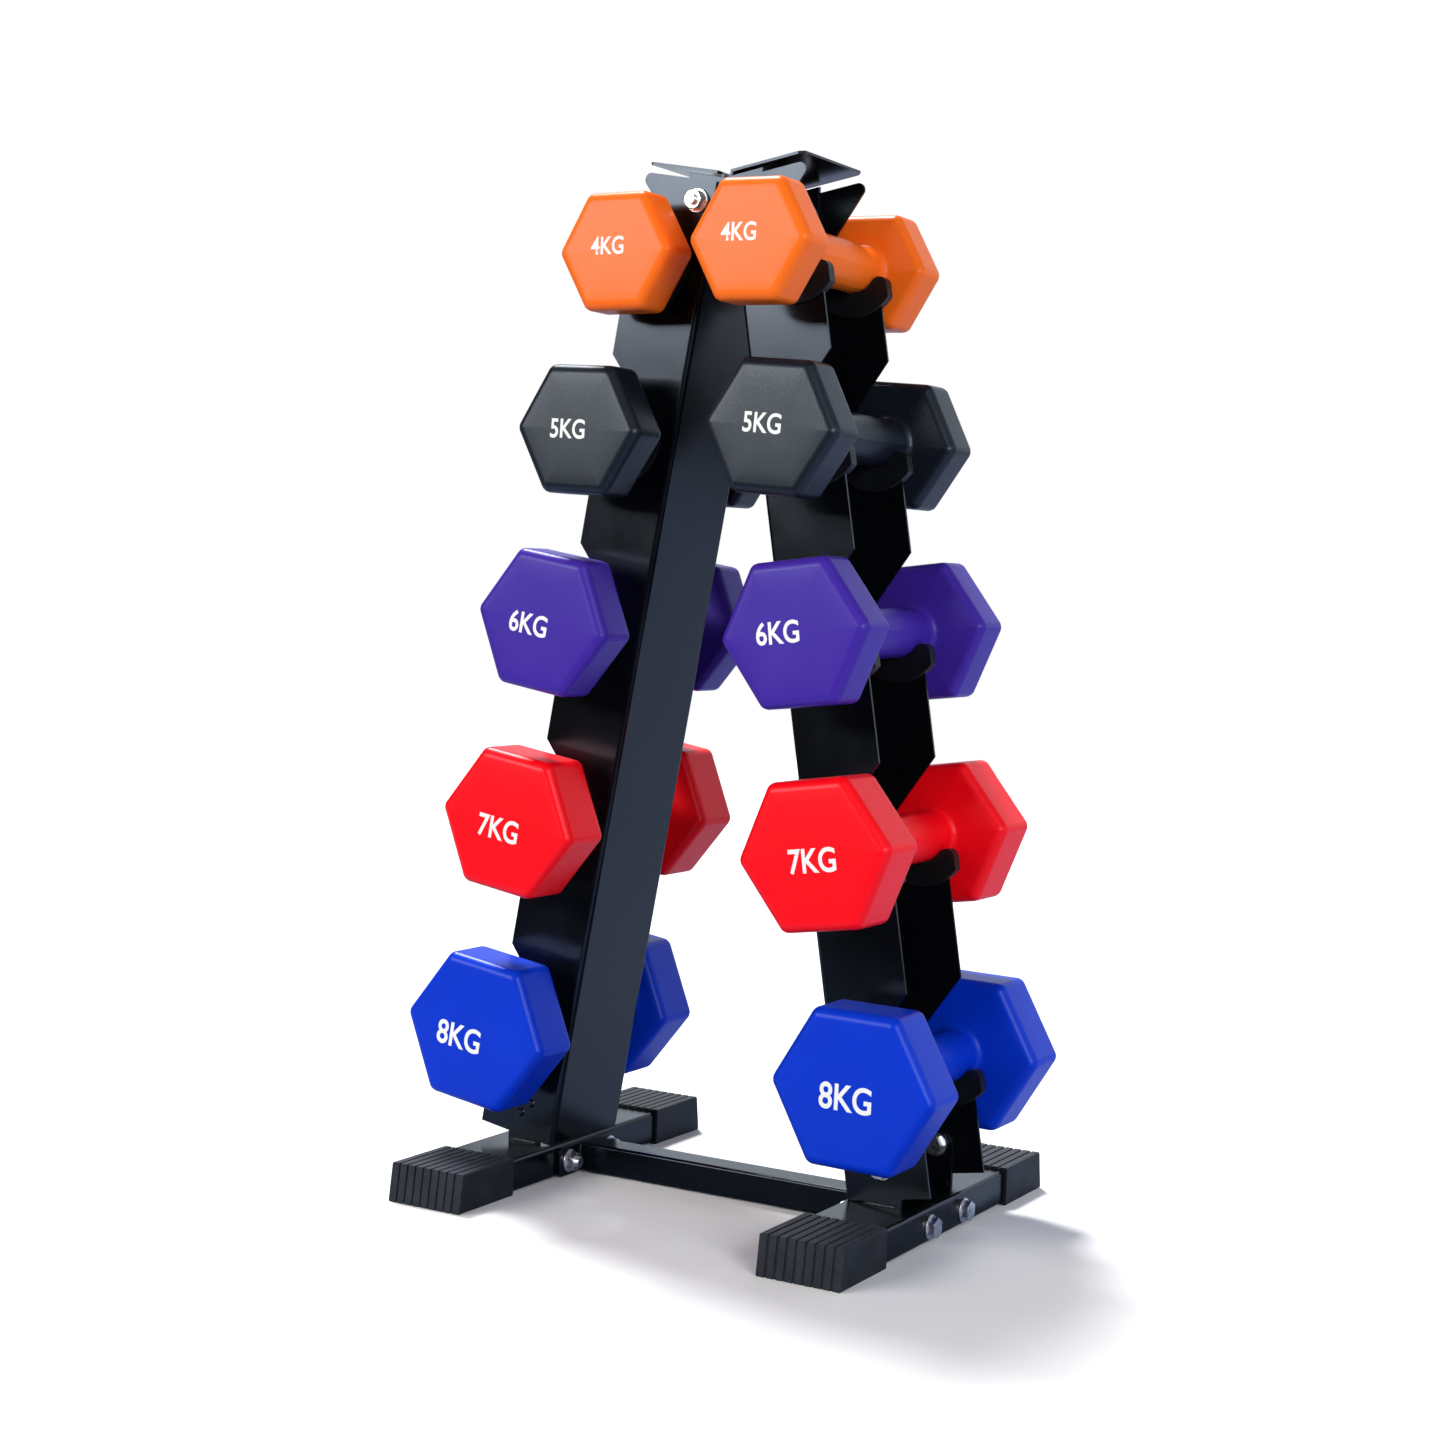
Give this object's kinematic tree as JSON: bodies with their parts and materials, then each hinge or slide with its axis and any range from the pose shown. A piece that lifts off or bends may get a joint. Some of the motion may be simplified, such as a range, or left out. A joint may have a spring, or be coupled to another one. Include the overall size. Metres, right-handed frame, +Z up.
{
  "type": "dumbbell rack",
  "caption": "A-frame dumbbell rack of two notched steel channels on capped feet, holding a graded set of coated hex dumbbells in plastic-lined cradles.",
  "frame": {"origin": "on the floor, midway between the two feet and midway from front to back", "axes": "+X from the left foot to the right foot, +Y from the front to the back, +Z up"},
  "size_m": [0.4515, 0.3384, 0.7767],
  "materials": {
    "powder_steel": "satin black powder coat",
    "zinc": "bright zinc plate",
    "end_cap": "moulded, matt",
    "saddle": "moulded, satin",
    "cast_iron": "as cast",
    "coat_orange": "matt dipped coat with fine grain",
    "coat_black": "matt dipped coat with coarse grain",
    "coat_purple": "matt dipped coat with fine grain",
    "coat_red": "matt dipped coat with fine grain",
    "coat_blue": "matt dipped coat with fine grain"
  },
  "bodies": {
    "rack": {"left_leg": "powder_steel", "right_leg": "powder_steel", "left_foot_tube": "powder_steel", "right_foot_tube": "powder_steel", "left_front_bracket": "powder_steel", "left_back_bracket": "powder_steel", "right_front_bracket": "powder_steel", "right_back_bracket": "powder_steel", "cross_tube": "powder_steel", "left_end_plate": "powder_steel", "right_end_plate": "powder_steel", "left_front_cap": "end_cap", "left_back_cap": "end_cap", "right_front_cap": "end_cap", "right_back_cap": "end_cap", "front_tie_plate": "powder_steel", "back_tie_plate": "powder_steel", "top_bolts": "zinc", "top_nuts": "zinc", "top_washers": "zinc", "leg_bolts": "zinc", "leg_nuts": "zinc", "leg_washers": "zinc", "leg_rivets": "powder_steel", "foot_bolts": "zinc", "foot_nuts": "zinc", "foot_washers": "zinc", "left_saddles_1": "saddle", "left_saddles_2": "saddle", "left_saddles_3": "saddle", "left_saddles_4": "saddle", "left_saddles_5": "saddle", "right_saddles_1": "saddle", "right_saddles_2": "saddle", "right_saddles_3": "saddle", "right_saddles_4": "saddle", "right_saddles_5": "saddle"},
    "left_dumbbell_4kg": {"left_core_1": "cast_iron", "left_coat_1": "coat_orange"},
    "left_dumbbell_5kg": {"left_core_2": "cast_iron", "left_coat_2": "coat_black"},
    "left_dumbbell_6kg": {"left_core_3": "cast_iron", "left_coat_3": "coat_purple"},
    "left_dumbbell_7kg": {"left_core_4": "cast_iron", "left_coat_4": "coat_red"},
    "left_dumbbell_8kg": {"left_core_5": "cast_iron", "left_coat_5": "coat_blue"},
    "right_dumbbell_4kg": {"right_core_1": "cast_iron", "right_coat_1": "coat_orange"},
    "right_dumbbell_5kg": {"right_core_2": "cast_iron", "right_coat_2": "coat_black"},
    "right_dumbbell_6kg": {"right_core_3": "cast_iron", "right_coat_3": "coat_purple"},
    "right_dumbbell_7kg": {"right_core_4": "cast_iron", "right_coat_4": "coat_red"},
    "right_dumbbell_8kg": {"right_core_5": "cast_iron", "right_coat_5": "coat_blue"}
  },
  "joints": [
    {"name": "left_4kg_lift", "type": "slide", "parent": "rack", "child": "left_dumbbell_4kg", "axis": [-0.5188, 0, 0.8549], "range_m": [0, 0.065]},
    {"name": "left_5kg_lift", "type": "slide", "parent": "rack", "child": "left_dumbbell_5kg", "axis": [-0.5188, 0, 0.8549], "range_m": [0, 0.038]},
    {"name": "left_6kg_lift", "type": "slide", "parent": "rack", "child": "left_dumbbell_6kg", "axis": [-0.5188, 0, 0.8549], "range_m": [0, 0.048]},
    {"name": "left_7kg_lift", "type": "slide", "parent": "rack", "child": "left_dumbbell_7kg", "axis": [-0.5188, 0, 0.8549], "range_m": [0, 0.057]},
    {"name": "left_8kg_lift", "type": "slide", "parent": "rack", "child": "left_dumbbell_8kg", "axis": [-0.5188, 0, 0.8549], "range_m": [0, 0.061]},
    {"name": "right_4kg_lift", "type": "slide", "parent": "rack", "child": "right_dumbbell_4kg", "axis": [0.5188, 0, 0.8549], "range_m": [0, 0.065]},
    {"name": "right_5kg_lift", "type": "slide", "parent": "rack", "child": "right_dumbbell_5kg", "axis": [0.5188, 0, 0.8549], "range_m": [0, 0.038]},
    {"name": "right_6kg_lift", "type": "slide", "parent": "rack", "child": "right_dumbbell_6kg", "axis": [0.5188, 0, 0.8549], "range_m": [0, 0.048]},
    {"name": "right_7kg_lift", "type": "slide", "parent": "rack", "child": "right_dumbbell_7kg", "axis": [0.5188, 0, 0.8549], "range_m": [0, 0.057]},
    {"name": "right_8kg_lift", "type": "slide", "parent": "rack", "child": "right_dumbbell_8kg", "axis": [0.5188, 0, 0.8549], "range_m": [0, 0.061]}
  ]
}
